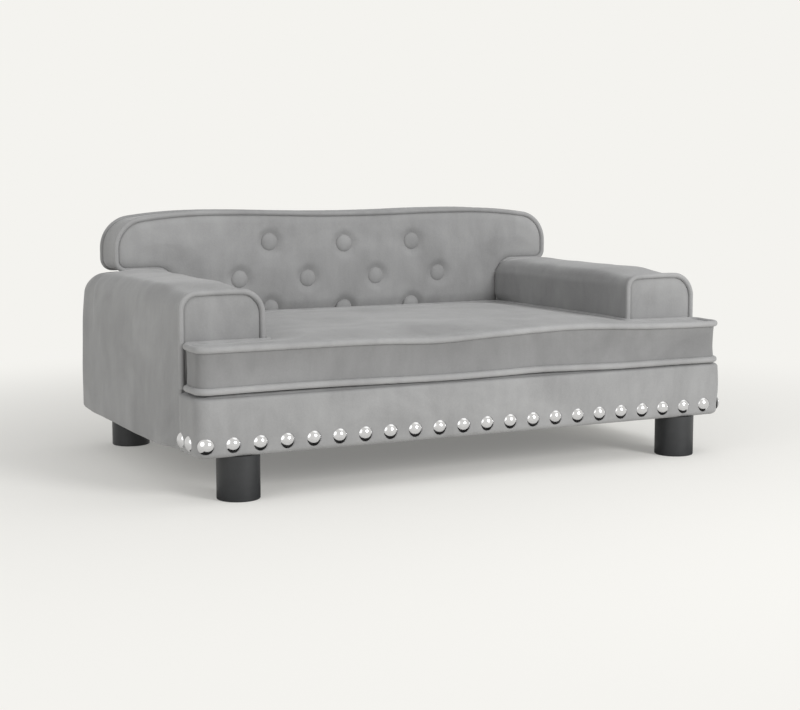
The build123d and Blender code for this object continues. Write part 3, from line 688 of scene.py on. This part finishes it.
class SOFA_OT_arms(Operator):
    """Adds the velvet of both arms"""
    bl_idname = "sofa.arms"
    bl_label = "Arms"

    def execute(self, context):
        shape = context.scene.sofa_shape
        for side, sign in (("right", 1), ("left", -1)):
            skin = closed_skin("arm_%s_velvet" % side, self.rings(shape, side) * [sign, 1, 1])
            finish_piece(skin, "sofa", "velvet", "velvet", "arm_%s_cover" % side, "arm_%s_foam" % side,
                         fill=0.9)
            self.cord(shape, side, sign)
        return {"FINISHED"}

    def rings(self, shape, side):
        """Rings over the front face, along the arm and over its rear, as an arm on the right. Along a ring a
        runs from the inner side to the outer and b from foot to top; steps and gap run from either end."""
        (left, near, low), far = ARM_LOW, ARM_HIGH[1]
        loop = arm_loop(shape, side, 260)
        right, high = loop.max(0)
        a, b = ((loop - (left, low)) / (right - left, high - low)).T[:, None]
        steps = np.concatenate([1.2 * MM + np.linspace(0, 1, 12)[:-1] ** 1.4 * 14.8 * MM,
                                np.linspace(16 * MM, far - near - ARM_TAIL, 76)[:-1],
                                far - near - ARM_TAIL * (1 - np.sin(np.linspace(0, pi / 2, 34)))])[:, None]
        gap = far - near - steps
        end_side, end_top, end_foot = (part * rounding(gap, radius) for radius, part in ARM_ENDS)
        seam = ARM_SEAM_SHARE * rounding(steps, ARM_SEAM_ROUND)
        crown = shape.arm_crown * (0.25 + 0.75 * ramp(steps, 0, 60))
        top_crown = shape.arm_top_crown * ramp(steps, 4, 90)
        top_crown *= 1 - 0.45 * ramp(gap, 95, 60)
        x = left + a * (right - left - end_side) - seam * (2 * a - 1) + crown * a ** 2 * (1 - b ** 3)
        z = low + end_foot + b * (high - low - end_top - end_foot) - seam * (2 * b - 1)
        z += top_crown * b ** 4 * np.sqrt(np.clip(1 - (2 * a - 1) ** 4, 0, 1))
        sag = ramp(steps, 20, 90) * ramp(gap, 0, 50)
        z -= ARM_SAG * sag * smooth(a, 0.6, 0.95) * (1 - smooth(b, 0, 0.1))
        past_back = steps - (BACK_LOW[1] - near)
        press = ramp(past_back, -80, -8) * (1 - ramp(past_back, -3, 3))
        press = press * ramp(loop[:, 1], 168, 184) * (1 - 0.8 * smooth(a, 0.5, 0.9))
        out = drawn_in(loop, -1.0) - loop
        x += ARM_PRESS_OUT * press * out[:, 0]
        z += ARM_PRESS_UP * press * out[:, 1]
        body = np.stack([x, np.broadcast_to(near + steps, x.shape), z], -1)
        outer = smooth(a, 0.55, 0.9) * ramp(steps, 0, 50)
        top = smooth(b, 0.7, 1.0) * ramp(steps, 0, 40)
        body[..., 0] += outer * shape.wrinkle * ripples(body, (1.6, 160, 11), (0.7, 60, 12))
        body[..., 2] += top * shape.wrinkle * ripples(body, (1.2, 120, 13), (0.5, 45, 14))
        middle = np.array([(left + right) / 2, (low + high) / 2])

        def panel(edge, puff, count):
            """Rings from an edge to its middle, level beside the cord and swollen by puff further in."""
            plan = edge[:, [0, 2]]
            pull = (middle - plan) / np.abs(middle - plan).max(1, keepdims=True)
            beside = plan + pull * ARM_SEAM_INSETS
            flat = np.concatenate([beside, inward(beside[-1], middle, 0.03, count)])
            free = ramp(flat[..., 1] - RAIL_HIGH[2], 6, 30)
            lift = from_seam(gap_to(plan, flat), 3, 14) * puff * free
            return np.stack([flat[..., 0], edge[0, 1] - lift, flat[..., 1]], -1)

        face = panel(body[0], shape.arm_face_puff, 22)[::-1]
        return np.concatenate([face, body, panel(body[-1], 0.0, 14)])

    def cord(self, shape, side, sign):
        """The piping round the front face, ending at the deck: the line is cut at the middle of its foot."""
        path = drawn_in(arm_loop(shape, side, 420), shape.cord_sink)
        off_middle = np.abs(path[:, 0] - path[:, 0].mean())
        start = np.argmin(np.where(path[:, 1] > 100 * MM, np.inf, off_middle))
        path = np.roll(path, -start, 0)
        path = upright(path[path[:, 1] > RAIL_HIGH[2] + 0.3 * MM] * [sign, 1], ARM_LOW[1] + shape.cord_sink)
        cord = piping("arm_%s_cord" % side, path, FORWARD, shape.cord, 31, closed=False)
        finish_piece(cord, "sofa", "piping_velvet", "velvet_piping", "arm_%s_piping" % side)


# Back

REAR_HIGH = node_box("back_rear_cover")[1]
BACK_HALF, EAR_FOOT = 248.0 * MM, 231.0 * MM
BACK_CENTRE = np.array([0.0, 0.262])
TOE_ROUND, NOTCH_ROUND, HEEL_ROUND, EAR_ROUND, SHOULDER_ROUND = 10 * MM, 20.5 * MM, 13 * MM, 40 * MM, 700 * MM
# Where the crest is highest, from the middle, and how much lower the middle is
CREST_PLACE, CREST_DIP = 190 * MM, 3.2 * MM
BACK_POINTS = 560
BACK_SEAM_INSETS = np.array([1.4, 2.2, 3.2, 4.0, 4.8, 5.8, 7.0, 8.6]) * MM


def back_loop(inset, count):
    """Front view of the back, from arcs: foot corner, notch, ear, shoulder, crest and dip, then mirrored."""
    ear_half, crest = BACK_HIGH[0], BACK_HIGH[2] - 0.8 * MM
    low = BACK_LOW[2] + inset
    half, ear, foot = BACK_HALF - inset, ear_half - inset, EAR_FOOT + inset
    toe, notch, heel = TOE_ROUND - inset, NOTCH_ROUND + inset, HEEL_ROUND - inset
    corner, shoulder = EAR_ROUND - inset, SHOULDER_ROUND - inset
    place, dip = CREST_PLACE, CREST_DIP
    crest_radius = ((place / 2) ** 2 + (dip / 2) ** 2) / dip
    shoulder_y = crest - SHOULDER_ROUND
    corner_x = ear_half - EAR_ROUND
    corner_y = shoulder_y + sqrt((SHOULDER_ROUND - EAR_ROUND) ** 2 - (corner_x - place) ** 2)
    lean = atan2(corner_x - place, corner_y - shoulder_y)
    sway = atan2(place / 2, crest_radius - dip / 2)

    def arc(x, y, radius, first, last, points=24):
        """Angles run from straight up, clockwise."""
        turn = np.linspace(first, last, points)
        return np.column_stack([x + radius * np.sin(turn), y + radius * np.cos(turn)])

    right = np.vstack([
        arc(half - toe, low + toe, toe, pi, pi / 2),
        arc(half + notch, foot - notch, notch, -pi / 2, 0),
        arc(ear - heel, foot + heel, heel, pi, pi / 2),
        arc(corner_x, corner_y, corner, pi / 2, lean),
        arc(place, shoulder_y, shoulder, lean, 0),
        arc(place, crest - crest_radius, crest_radius - inset, 0, -sway)[1:],
        arc(0, crest - dip + crest_radius, crest_radius + inset, pi - sway, pi)[1:],
    ])
    return even_loop(np.vstack([right, (right * [-1, 1])[::-1][1:]]), count)


BUTTON_BASE = 2.4 * MM  # from the rear of the CAD buttons to the base of the domes
# How far each button sits off its mark, in X and Z
BUTTON_STRAYS = np.array([(-3.5, 3.6), (0, -0.5), (-2.5, 0.5), (-4, -0.6), (-5, -2), (-2, -1.5), (-3.8, -0.2),
                          (-2.7, 3.5), (-0.3, 0), (-3.1, 1.5)]) * MM


def button_places():
    """Middle of each button in X and Z: three rows, each button a little off its mark as sewn by hand."""
    outer, inner = 107 * MM, 100 * MM
    level, rise = 216 * MM, 44.5 * MM
    marks = [(outer * k, level + rise) for k in (-1, 0, 1)] + [(inner * k / 2, level) for k in (-3, -1, 1, 3)]
    marks += [(outer * k, level - rise) for k in (-1, 0, 1)]
    return np.array(marks) + BUTTON_STRAYS


def tuft_hollow(shape, points):
    """Depth of the hollows round the buttons: a tight and a wide bell curve, summed over the buttons."""
    gap = np.linalg.norm(points[..., None, [0, 2]] - button_places(), axis=-1)
    return shape.tuft_depth * (0.7 * bell(gap, 15.5 * MM, 4) + 0.3 * bell(gap, 26 * MM)).sum(-1)


class SOFA_OT_back(Operator):
    """Adds the velvet of the back with its tufted front, and its two cords"""
    bl_idname = "sofa.back"
    bl_label = "Back"

    def execute(self, context):
        shape = context.scene.sofa_shape
        seam_near, seam_far = BACK_LOW[1], REAR_HIGH[1] - shape.cord_sink
        outline = back_loop(0, BACK_POINTS)

        def ring(inset, y):
            return upright(back_loop(inset, BACK_POINTS), y)

        def panel(insets, y, steps):
            """Rings beside the seam, rings towards the middle of the back, and their distance to the seam."""
            beside = np.array([ring(inset, y) for inset in insets])
            rings = np.concatenate([beside, inward(beside[-1], upright(BACK_CENTRE, y), 0.012, steps)])
            return rings, gap_to(outline, rings[..., [0, 2]])

        front, gap = panel(BACK_SEAM_INSETS, seam_near + 0.8 * MM, 82)
        lip = from_seam(gap, 3.6, 11)
        free = ramp(front[..., 2], 166, 186)
        crown = 0.5 + 0.5 * ramp(gap, 0, 55)
        puff = shape.back_puff * crown * (0.42 + 0.58 * free)
        fold = shape.wrinkle * ripples(front, (0.9, 90, 21), (0.5, 40, 22)) * free
        front[..., 1] -= (puff - tuft_hollow(shape, front) + fold) * lip
        rear, gap = panel(BACK_SEAM_INSETS[::2], seam_far, 16)
        rear[..., 1] += shape.cord_sink * from_seam(gap, 2, 5)
        rows = np.linspace(seam_far, seam_near, 20)[1:-1]
        ease = 1 - np.minimum(1, np.minimum(rows - seam_near, seam_far - rows) / (6 * MM))
        border = np.array([ring(1.3 * MM * part, y) for part, y in zip(ease, rows)])
        skin = closed_skin("back_velvet", np.concatenate([rear[::-1], border, front]))
        finish_piece(skin, "sofa", "velvet", "velvet", "back_front_cover", "back_border", "back_rear_cover",
                     "back_foam", "back_wadding", fill=0.85)
        self.cords(shape, seam_near, seam_far)
        return {"FINISHED"}

    def cords(self, shape, seam_near, seam_far):
        """The piping round both outlines, a little higher at the foot."""
        loop = back_loop(shape.cord_sink, 900)
        loop[:, 1] += (loop[:, 1] < 60 * MM) * 2 * MM
        for name, y in (("front", seam_near), ("rear", seam_far)):
            cord = piping("back_%s_cord" % name, upright(loop, y), FORWARD, shape.cord, 41)
            finish_piece(cord, "sofa", "velvet", "velvet_piping", "back_%s_piping" % name)


class SOFA_OT_buttons(Operator):
    """Adds the ten covered buttons"""
    bl_idname = "sofa.buttons"
    bl_label = "Buttons"

    def execute(self, context):
        shape = context.scene.sofa_shape
        radius, rise = shape.button, shape.button_rise
        turn = np.linspace(0.04, pi / 2, 14)
        dome = np.column_stack([radius * np.sin(turn), rise * np.cos(turn) ** 0.8])
        skirt = np.array([[radius * 0.99, -1.2 * MM], [radius * 0.94, -2.6 * MM], [radius * 0.8, -3.2 * MM]])
        places = upright(button_places(), node_box("back_buttons")[1][1] - BUTTON_BASE)
        outward = np.broadcast_to(FORWARD, places.shape)
        rings = stand_on(lathe(np.vstack([dome, skirt]), 52, 0.004), places, outward)
        buttons = closed_skin("back_button_velvet", rings)
        finish_piece(buttons, "sofa", "velvet", "velvet", "back_buttons", fill=0.9)
        return {"FINISHED"}


# Loose cushion

CUSHION_LOW, CUSHION_HIGH = node_box("cushion_foam")
LOW_CORD_LOW, LOW_CORD_HIGH = node_box("cushion_low_piping")
TOP_CORD_LOW, TOP_CORD_HIGH = node_box("cushion_top_piping")
LOW_SEAM, HIGH_SEAM = (LOW_CORD_LOW[2] + LOW_CORD_HIGH[2]) / 2, (TOP_CORD_LOW[2] + TOP_CORD_HIGH[2]) / 2
CUSHION_SEAM_INSETS = np.array([2.2, 3.0, 3.8, 4.8, 5.8, 6.8, 8.2, 10]) * MM
# Bells of each seam's wave along the front edge: height in millimetres, place and width in metres; then the
# lift there and the lift all round, in millimetres
TOP_WAVE = ((3.9, 0.125, 0.085), (-2.9, -0.06, 0.055)), -1.2, 0
LOW_WAVE = ((1.1, -0.24, 0.1), (-1, -0.05, 0.07), (0.8, 0.08, 0.035), (-1.2, 0.195, 0.055)), 0, 0.5
DROOP = 1.8  # of the right end, in millimetres
# From the front edge to the middle of the rings, half the width of the crown, the top's step beside its seam
# and its further rise, how far the side lies inside the seam, and its share that is free to swell
CUSHION_HEART, CROWN_HALF, TOP_STEP, TOP_RISE = 26 * MM, 240 * MM, 1.2 * MM, 0.8 * MM
SIDE_INSET, SIDE_FREE = 0.6 * MM, 0.3


def cushion_loop(count):
    """Plan of the seam: a T whose bar lies ahead of the arms."""
    stand = 2.3 * MM
    end, near, far = LOW_CORD_HIGH[0] - stand, LOW_CORD_LOW[1] + stand, LOW_CORD_HIGH[1] - stand
    seat, notch = (edge - stand * 2 - MM for edge in ARM_LOW[:2])
    corner, crook = 14 * MM, 6 * MM
    return rounded_loop([(-end, near), (end, near), (end, notch), (seat, notch), (seat, far), (-seat, far),
                         (-seat, notch), (-end, notch)],
                        [corner, corner, corner, crook, corner, corner, crook, corner], count)


def seam_wave(plan, level):
    """How far the seam at a level strays up or down: its bells along the front edge, its lift all round, and
    a droop of the right end."""
    x, past = plan[..., 0], plan[..., 1] - CUSHION_LOW[1]
    bells, lift, rest = TOP_WAVE if level > (LOW_SEAM + HIGH_SEAM) / 2 else LOW_WAVE
    wave = sum(height * bell(x - place, width) for height, place, width in bells) + lift
    droop = DROOP * smooth(x, 0.13, 0.34) * (1 - ramp(past, 50, 120))
    return (wave * (1 - ramp(past, 20, 70)) + rest - droop) * MM


def cushion_rings(shape, count):
    """Rings from the middle of the underside over the low seam, the drawn-in side and the high seam to the
    middle of the top, and the share of each ring that is free to swell."""
    loop = cushion_loop(count)
    heart = np.array([0.0, CUSHION_LOW[1] + CUSHION_HEART])
    edges = [drawn_in(loop, inset) for inset in CUSHION_SEAM_INSETS]

    def panel(steps, seam):
        """Rings from a seam to the middle, and their distance from it."""
        plan = np.concatenate([edges, inward(edges[-1], heart, 0.01, steps)])
        gap = gap_to(loop, plan)
        stray = seam_wave(plan, seam) * (1 - 0.8 * ramp(gap, 4, 70))
        return np.concatenate([plan, (seam + stray)[..., None]], -1), gap

    top, gap = panel(90, HIGH_SEAM)
    half = np.array([CROWN_HALF, (CUSHION_HIGH[1] - CUSHION_LOW[1]) / 2])
    offset = (top[..., :2] - (0, (CUSHION_LOW[1] + CUSHION_HIGH[1]) / 2)) / half
    bulge = (np.clip(1 - offset ** 2, 0, 1) ** 0.7).prod(-1)
    top[..., 2] += TOP_RISE * from_seam(gap, 4.4, 24) + TOP_STEP + shape.cushion_crown * bulge
    crease = shape.wrinkle * ramp(gap, 6, 25)
    top[..., 2] += ripples(top, (1.2, 110, 51), (0.6, 48, 52)) * crease
    free_top = ramp(gap, 8, 70)
    bottom, gap = panel(40, LOW_SEAM)
    floor = node_box("cushion_cover")[0][2]
    bottom[..., 2] += (floor + 0.2 * MM - bottom[..., 2]) * ramp(gap, 13, 40)
    rise = np.linspace(0, 1, 18)[1:-1, None]
    hump = np.sin(pi * rise)
    out = drawn_in(loop, -1.0) - loop
    waist = shape.cushion_waist * (0.15 + 0.85 * smooth(-out[:, 1], 0.3, 0.95))
    plan = loop - out * (SIDE_INSET + waist * hump)[..., None]
    low_wave, high_wave = (seam_wave(plan, seam) for seam in (LOW_SEAM, HIGH_SEAM))
    level = (LOW_SEAM + low_wave) * (1 - rise) + (HIGH_SEAM + high_wave) * rise
    side = np.concatenate([plan, level[..., None]], -1)
    push = shape.wrinkle * ripples(side, (0.9, 80, 53), (0.4, 30, 54)) * hump
    side[..., :2] += push[..., None] * out
    free_side = np.broadcast_to(SIDE_FREE * hump, side.shape[:2])
    free = np.concatenate([np.zeros(bottom.shape[:2]), free_side, free_top])
    return np.concatenate([bottom[::-1], side, top]), free


class SOFA_OT_cushion(Operator):
    """Adds the filled T cushion with its two cords"""
    bl_idname = "sofa.cushion"
    bl_label = "Cushion"

    def execute(self, context):
        shape = context.scene.sofa_shape
        rings, free = cushion_rings(shape, 620)
        skin = closed_skin("cushion_velvet", rings)
        swell(skin, free, shape.cushion_cap, 6 * MM)
        finish_piece(skin, "cushion", "cushion_velvet", "velvet", "cushion_cover", "cushion_foam", fill=0.8)
        plan = drawn_in(cushion_loop(1000), shape.cord_sink)
        for name, seam in (("low", LOW_SEAM), ("top", HIGH_SEAM)):
            path = np.column_stack([plan, seam + seam_wave(plan, seam)])
            cord = piping("cushion_%s_cord" % name, path, UP, shape.cushion_cord, 61)
            finish_piece(cord, "cushion", "piping_velvet", "velvet_piping", "cushion_%s_piping" % name)
        return {"FINISHED"}


# Cloths and zip

def cloth_slab(name, low, high, sag, seed, columns=90, rows=60):
    """A thin closed sheet over a rectangle: height = level + sag * bell of the middle + ripple."""
    u, v = np.meshgrid(np.linspace(0, 1, columns), np.linspace(0, 1, rows), indexing="ij")
    x, y = low[0] + u * (high[0] - low[0]), low[1] + v * (high[1] - low[1])
    flat = np.stack([x, y, np.zeros_like(x)], -1)
    free = (np.sin(pi * u) * np.sin(pi * v)) ** 0.5
    shift = free * (sag + 0.25 * MM * ripple(flat, 70 * MM, seed))
    top, under = flat.copy(), flat.copy()
    top[..., 2], under[..., 2] = high[2] + shift, low[2] + shift
    rim = [np.arange(columns) * rows, (columns - 1) * rows + np.arange(rows),
           np.arange(columns)[::-1] * rows + rows - 1, np.arange(rows)[::-1]]
    edge = np.concatenate([line[:-1] for line in rim])
    onward, count = np.roll(edge, -1), columns * rows
    grid = ring_faces(columns, rows, closed=False)
    wall = np.stack([edge, onward, onward + count, edge + count], -1)
    return put_mesh(name, np.concatenate([top.reshape(-1, 3), under.reshape(-1, 3)]),
                    np.vstack([grid, grid[:, ::-1] + count, wall]))


def upright_strip(name, low, high):
    """A thin upright strip: a loop round its section, carried along X, with softened edges."""
    section = rounded_loop([(low[1], low[2]), (high[1], low[2]), (high[1], high[2]), (low[1], high[2])],
                           [0.3 * MM] * 4, 40, 6)
    rings = [np.insert(section, 0, x, axis=-1) for x in np.linspace(low[0], high[0], 200)]
    return closed_skin(name, np.array(rings))


class SOFA_OT_cloths(Operator):
    """Adds the deck cloth under the cushion and the dust cover under the seat"""
    bl_idname = "sofa.cloths"
    bl_label = "Deck cloth and dust cover"

    def execute(self, context):
        low, high = node_box("seat_deck_cloth")
        deck = cloth_slab("deck_cloth", low, high - [0, 0, 0.4 * MM], 0.0, 71)
        finish_piece(deck, "sofa", "lining", "lining_cloth", "seat_deck_cloth")
        low, high = node_box("dust_cover")
        dust = cloth_slab("dust_cloth", low, high, -1.5 * MM, 72)
        finish_piece(dust, "sofa", "lining", "lining_cloth", "dust_cover")
        return {"FINISHED"}


class SOFA_OT_zip(Operator):
    """Adds the zip's tape and its row of coil turns"""
    bl_idname = "sofa.zip"
    bl_label = "Zip"

    def execute(self, context):
        low, high = node_box("cushion_zip")
        tape_far = low[1] + 0.8 * MM
        tape = upright_strip("zip_tape", low, (high[0], tape_far, high[2]))
        finish_piece(tape, "cushion", "zip_weave", "zip_tape", "cushion_zip")
        pitch, half, stagger, bead_half = 1.8 * MM, (high[1] - tape_far) / 2, 0.5 * MM, 1.6 * MM
        x = np.arange(low[0] + pitch, high[0] - pitch / 2, pitch)
        level = (low[2] + high[2]) / 2 + np.where(np.arange(len(x)) % 2, stagger, -stagger)
        places = upright(np.column_stack([x, level]), (tape_far + high[1]) / 2)
        turn = np.linspace(0.1, pi - 0.1, 5)
        bead = lathe(np.column_stack([half * np.sin(turn), -bead_half * np.cos(turn)]), 8)
        outward = np.broadcast_to(unit(np.array([0, 0.001, 1.0])), places.shape)
        coil = closed_skin("zip_coil", stand_on(bead, places, outward))
        finish_piece(coil, "cushion", "zip_plastic", "zip_tape")
        return {"FINISHED"}


class SOFA_OT_frame_finishes(Operator):
    """Gives the CAD boards, legs and hardware their finishes"""
    bl_idname = "sofa.frame_finishes"
    bl_label = "Boards, legs and hardware"

    def execute(self, context):
        slots = {entry["node"]: entry["material_slot"] for entry in frame["record"]["subparts"]}
        for name, node in frame["nodes"].items():
            if slots[name] in CAD_FINISHES:
                node.data.materials.clear()
                node.data.materials.append(look_of(slots[name]))
        return {"FINISHED"}


# Stage

# Place, target and diameter of each lamp
LAMPS = {"key": ((0.8, -0.4, 2.1), (0, 0, 0.1), 2.0),
         "fill": ((-1.7, -0.9, 0.9), (0.2, 0, 0.15), 1.6),
         "front": ((0.9, -2.5, 1.1), (0, 0, 0.15), 1.0)}
# Half the floor's side; where its fading starts and ends, and its least share, the glow kept near the sofa
# that lightens its shadow as painted light
FLOOR_HALF, FADE_START, FADE_END, FADE_LEAST = 8.0, 0.4, 1.2, 0.22
CAMERA_PLACE, CAMERA_TILT, CAMERA_TURN = (-0.90779, -1.76483, 0.3582), 83.22, -27.32
CAMERA_SENSOR, CAMERA_LENS = 36.0, 69.558


def flat_card(name, low, high, level, material):
    """One square that faces up, between two corners in X and Y."""
    mesh = bpy.data.meshes.new(name)
    (left, near), (right, far) = low, high
    corners = [(left, near, level), (right, near, level), (right, far, level), (left, far, level)]
    mesh.from_pydata(corners, [], [(0, 1, 2, 3)])
    mesh.materials.append(material)
    return add_object(name, mesh)


class SOFA_OT_stage(Operator):
    """Adds the pale floor, the lamps, the background and the camera"""
    bl_idname = "sofa.stage"
    bl_label = "Stage"

    def execute(self, context):
        scene = context.scene
        ground, lights = (*scene.sofa_colours.ground, 1), scene.stage_lights
        self.floor(ground)
        self.background(scene, ground, lights.sky)
        for name, (place, target, size) in LAMPS.items():
            self.lamp(name + "_lamp", place, target, size, getattr(lights, name))
        self.flag()
        self.camera(scene)
        scene.view_settings.view_transform = "Standard"
        return {"FINISHED"}

    def floor(self, ground):
        """The floor: lit near the sofa with a least share of glow that lightens its shadow as painted light,
        and fading into the background's colour further out.
        """
        look = Look("floor", {"Base Color": ground, "Roughness": 0.9, "Specular IOR Level": 0.0})
        own = look.node("ShaderNodeTexCoord", output=3)
        reach = look.node("ShaderNodeVectorMath", {"operation": "LENGTH"}, {0: own}, output=1)
        fade = look.node("ShaderNodeMapRange", {"interpolation_type": "SMOOTHSTEP"},
                         {"Value": reach, "From Min": FADE_START, "From Max": FADE_END, "To Min": FADE_LEAST})
        glow = look.node("ShaderNodeEmission", {}, {"Color": ground, "Strength": 1.0})
        lit = Signal(look, look.shader.outputs[0])
        mixed = look.node("ShaderNodeMixShader", {}, {0: fade, 1: lit, 2: glow})
        look.feed(look.tree.nodes["Material Output"].inputs["Surface"], mixed)
        floor = flat_card("floor", (-FLOOR_HALF, -FLOOR_HALF), (FLOOR_HALF, FLOOR_HALF), 0, look.material)

    def background(self, scene, ground, level):
        """Even light from all sides; the ground's colour where the camera, glass or gloss sees it."""
        scene.world = bpy.data.worlds.new("studio")
        scene.world.use_nodes = True
        nodes = Nodes(scene.world.node_tree)
        camera, gloss, glass = (nodes.node("ShaderNodeLightPath", output="Is %s Ray" % kind)
                                for kind in ("Camera", "Glossy", "Transmission"))
        seen = nodes.node("ShaderNodeMath", {"operation": "ADD", "use_clamp": True},
                          {0: camera + gloss, 1: glass})
        plain = nodes.tree.nodes["Background"]
        nodes.feed(plain.inputs["Color"], (1, 1, 1, 1))
        nodes.feed(plain.inputs["Strength"], level)
        shown = nodes.node("ShaderNodeBackground", {}, {"Color": ground, "Strength": 1.0})
        mixed = nodes.node("ShaderNodeMixShader", {}, {0: seen, 1: Signal(nodes, plain.outputs[0]), 2: shown})
        nodes.feed(nodes.tree.nodes["World Output"].inputs["Surface"], mixed)

    def flag(self):
        """A black card on the floor before the sofa that only polished metal sees: a painted dark reflection
        in the nails.
        """
        half, near, far = RAIL_HIGH[0] + 30 * MM, RAIL_LOW[1] - 40 * MM, RAIL_HIGH[1]
        black = Look("flag", {"Base Color": (0.01, 0.01, 0.01, 1), "Roughness": 1.0}).material
        card = flat_card("flag", (-half, near), (half, far), MM, black)
        card.visible_camera = card.visible_diffuse = card.visible_shadow = card.visible_transmission = False

    def lamp(self, name, place, target, size, watts):
        """A round area lamp turned to its target."""
        light = bpy.data.lights.new(name, "AREA")
        light.shape, light.size, light.energy = "DISK", size, watts
        lamp = add_object(name, light)
        lamp.location = place
        x, y, z = np.array(place) - np.array(target)
        lamp.rotation_euler = Euler((atan2(np.hypot(x, y), z), 0, atan2(x, -y)))

    def camera(self, scene):
        """The photograph's viewing angle."""
        lens = bpy.data.cameras.new("camera")
        lens.sensor_width, lens.lens = CAMERA_SENSOR, CAMERA_LENS
        camera = add_object("camera", lens)
        camera.location = CAMERA_PLACE
        camera.rotation_euler = (radians(CAMERA_TILT), 0, radians(CAMERA_TURN))
        scene.camera = camera


PIECES = (SOFA_OT_front_rail, SOFA_OT_nails, SOFA_OT_arms, SOFA_OT_back, SOFA_OT_buttons, SOFA_OT_cushion,
          SOFA_OT_cloths, SOFA_OT_zip, SOFA_OT_frame_finishes, SOFA_OT_stage)


class SOFA_PT_pieces(Panel):
    """Lists the pieces and their sizes"""
    bl_idname = "SOFA_PT_pieces"
    bl_label = "Dog sofa bed"
    bl_space_type = "VIEW_3D"
    bl_region_type = "UI"
    bl_category = "Sofa"

    def draw(self, context):
        column = self.layout.column()
        for group in (context.scene.sofa_shape, context.scene.sofa_colours, context.scene.stage_lights):
            for name in group.__annotations__:
                column.prop(group, name)
        for piece in PIECES:
            column.operator(piece.bl_idname)


CLASSES = (SofaShape, SofaColours, StageLights, *PIECES, SOFA_PT_pieces)
GROUPS = {"sofa_shape": SofaShape, "sofa_colours": SofaColours, "stage_lights": StageLights}


def register():
    for item in CLASSES:
        bpy.utils.register_class(item)
    for name, group in GROUPS.items():
        setattr(bpy.types.Scene, name, PointerProperty(type=group))


def unregister():
    for name in GROUPS:
        delattr(bpy.types.Scene, name)
    for item in reversed(CLASSES):
        bpy.utils.unregister_class(item)


def main():
    register()
    for piece in PIECES:
        family, name = piece.bl_idname.split(".")
        getattr(getattr(bpy.ops, family), name)()


if __name__ == "__main__":
    main()
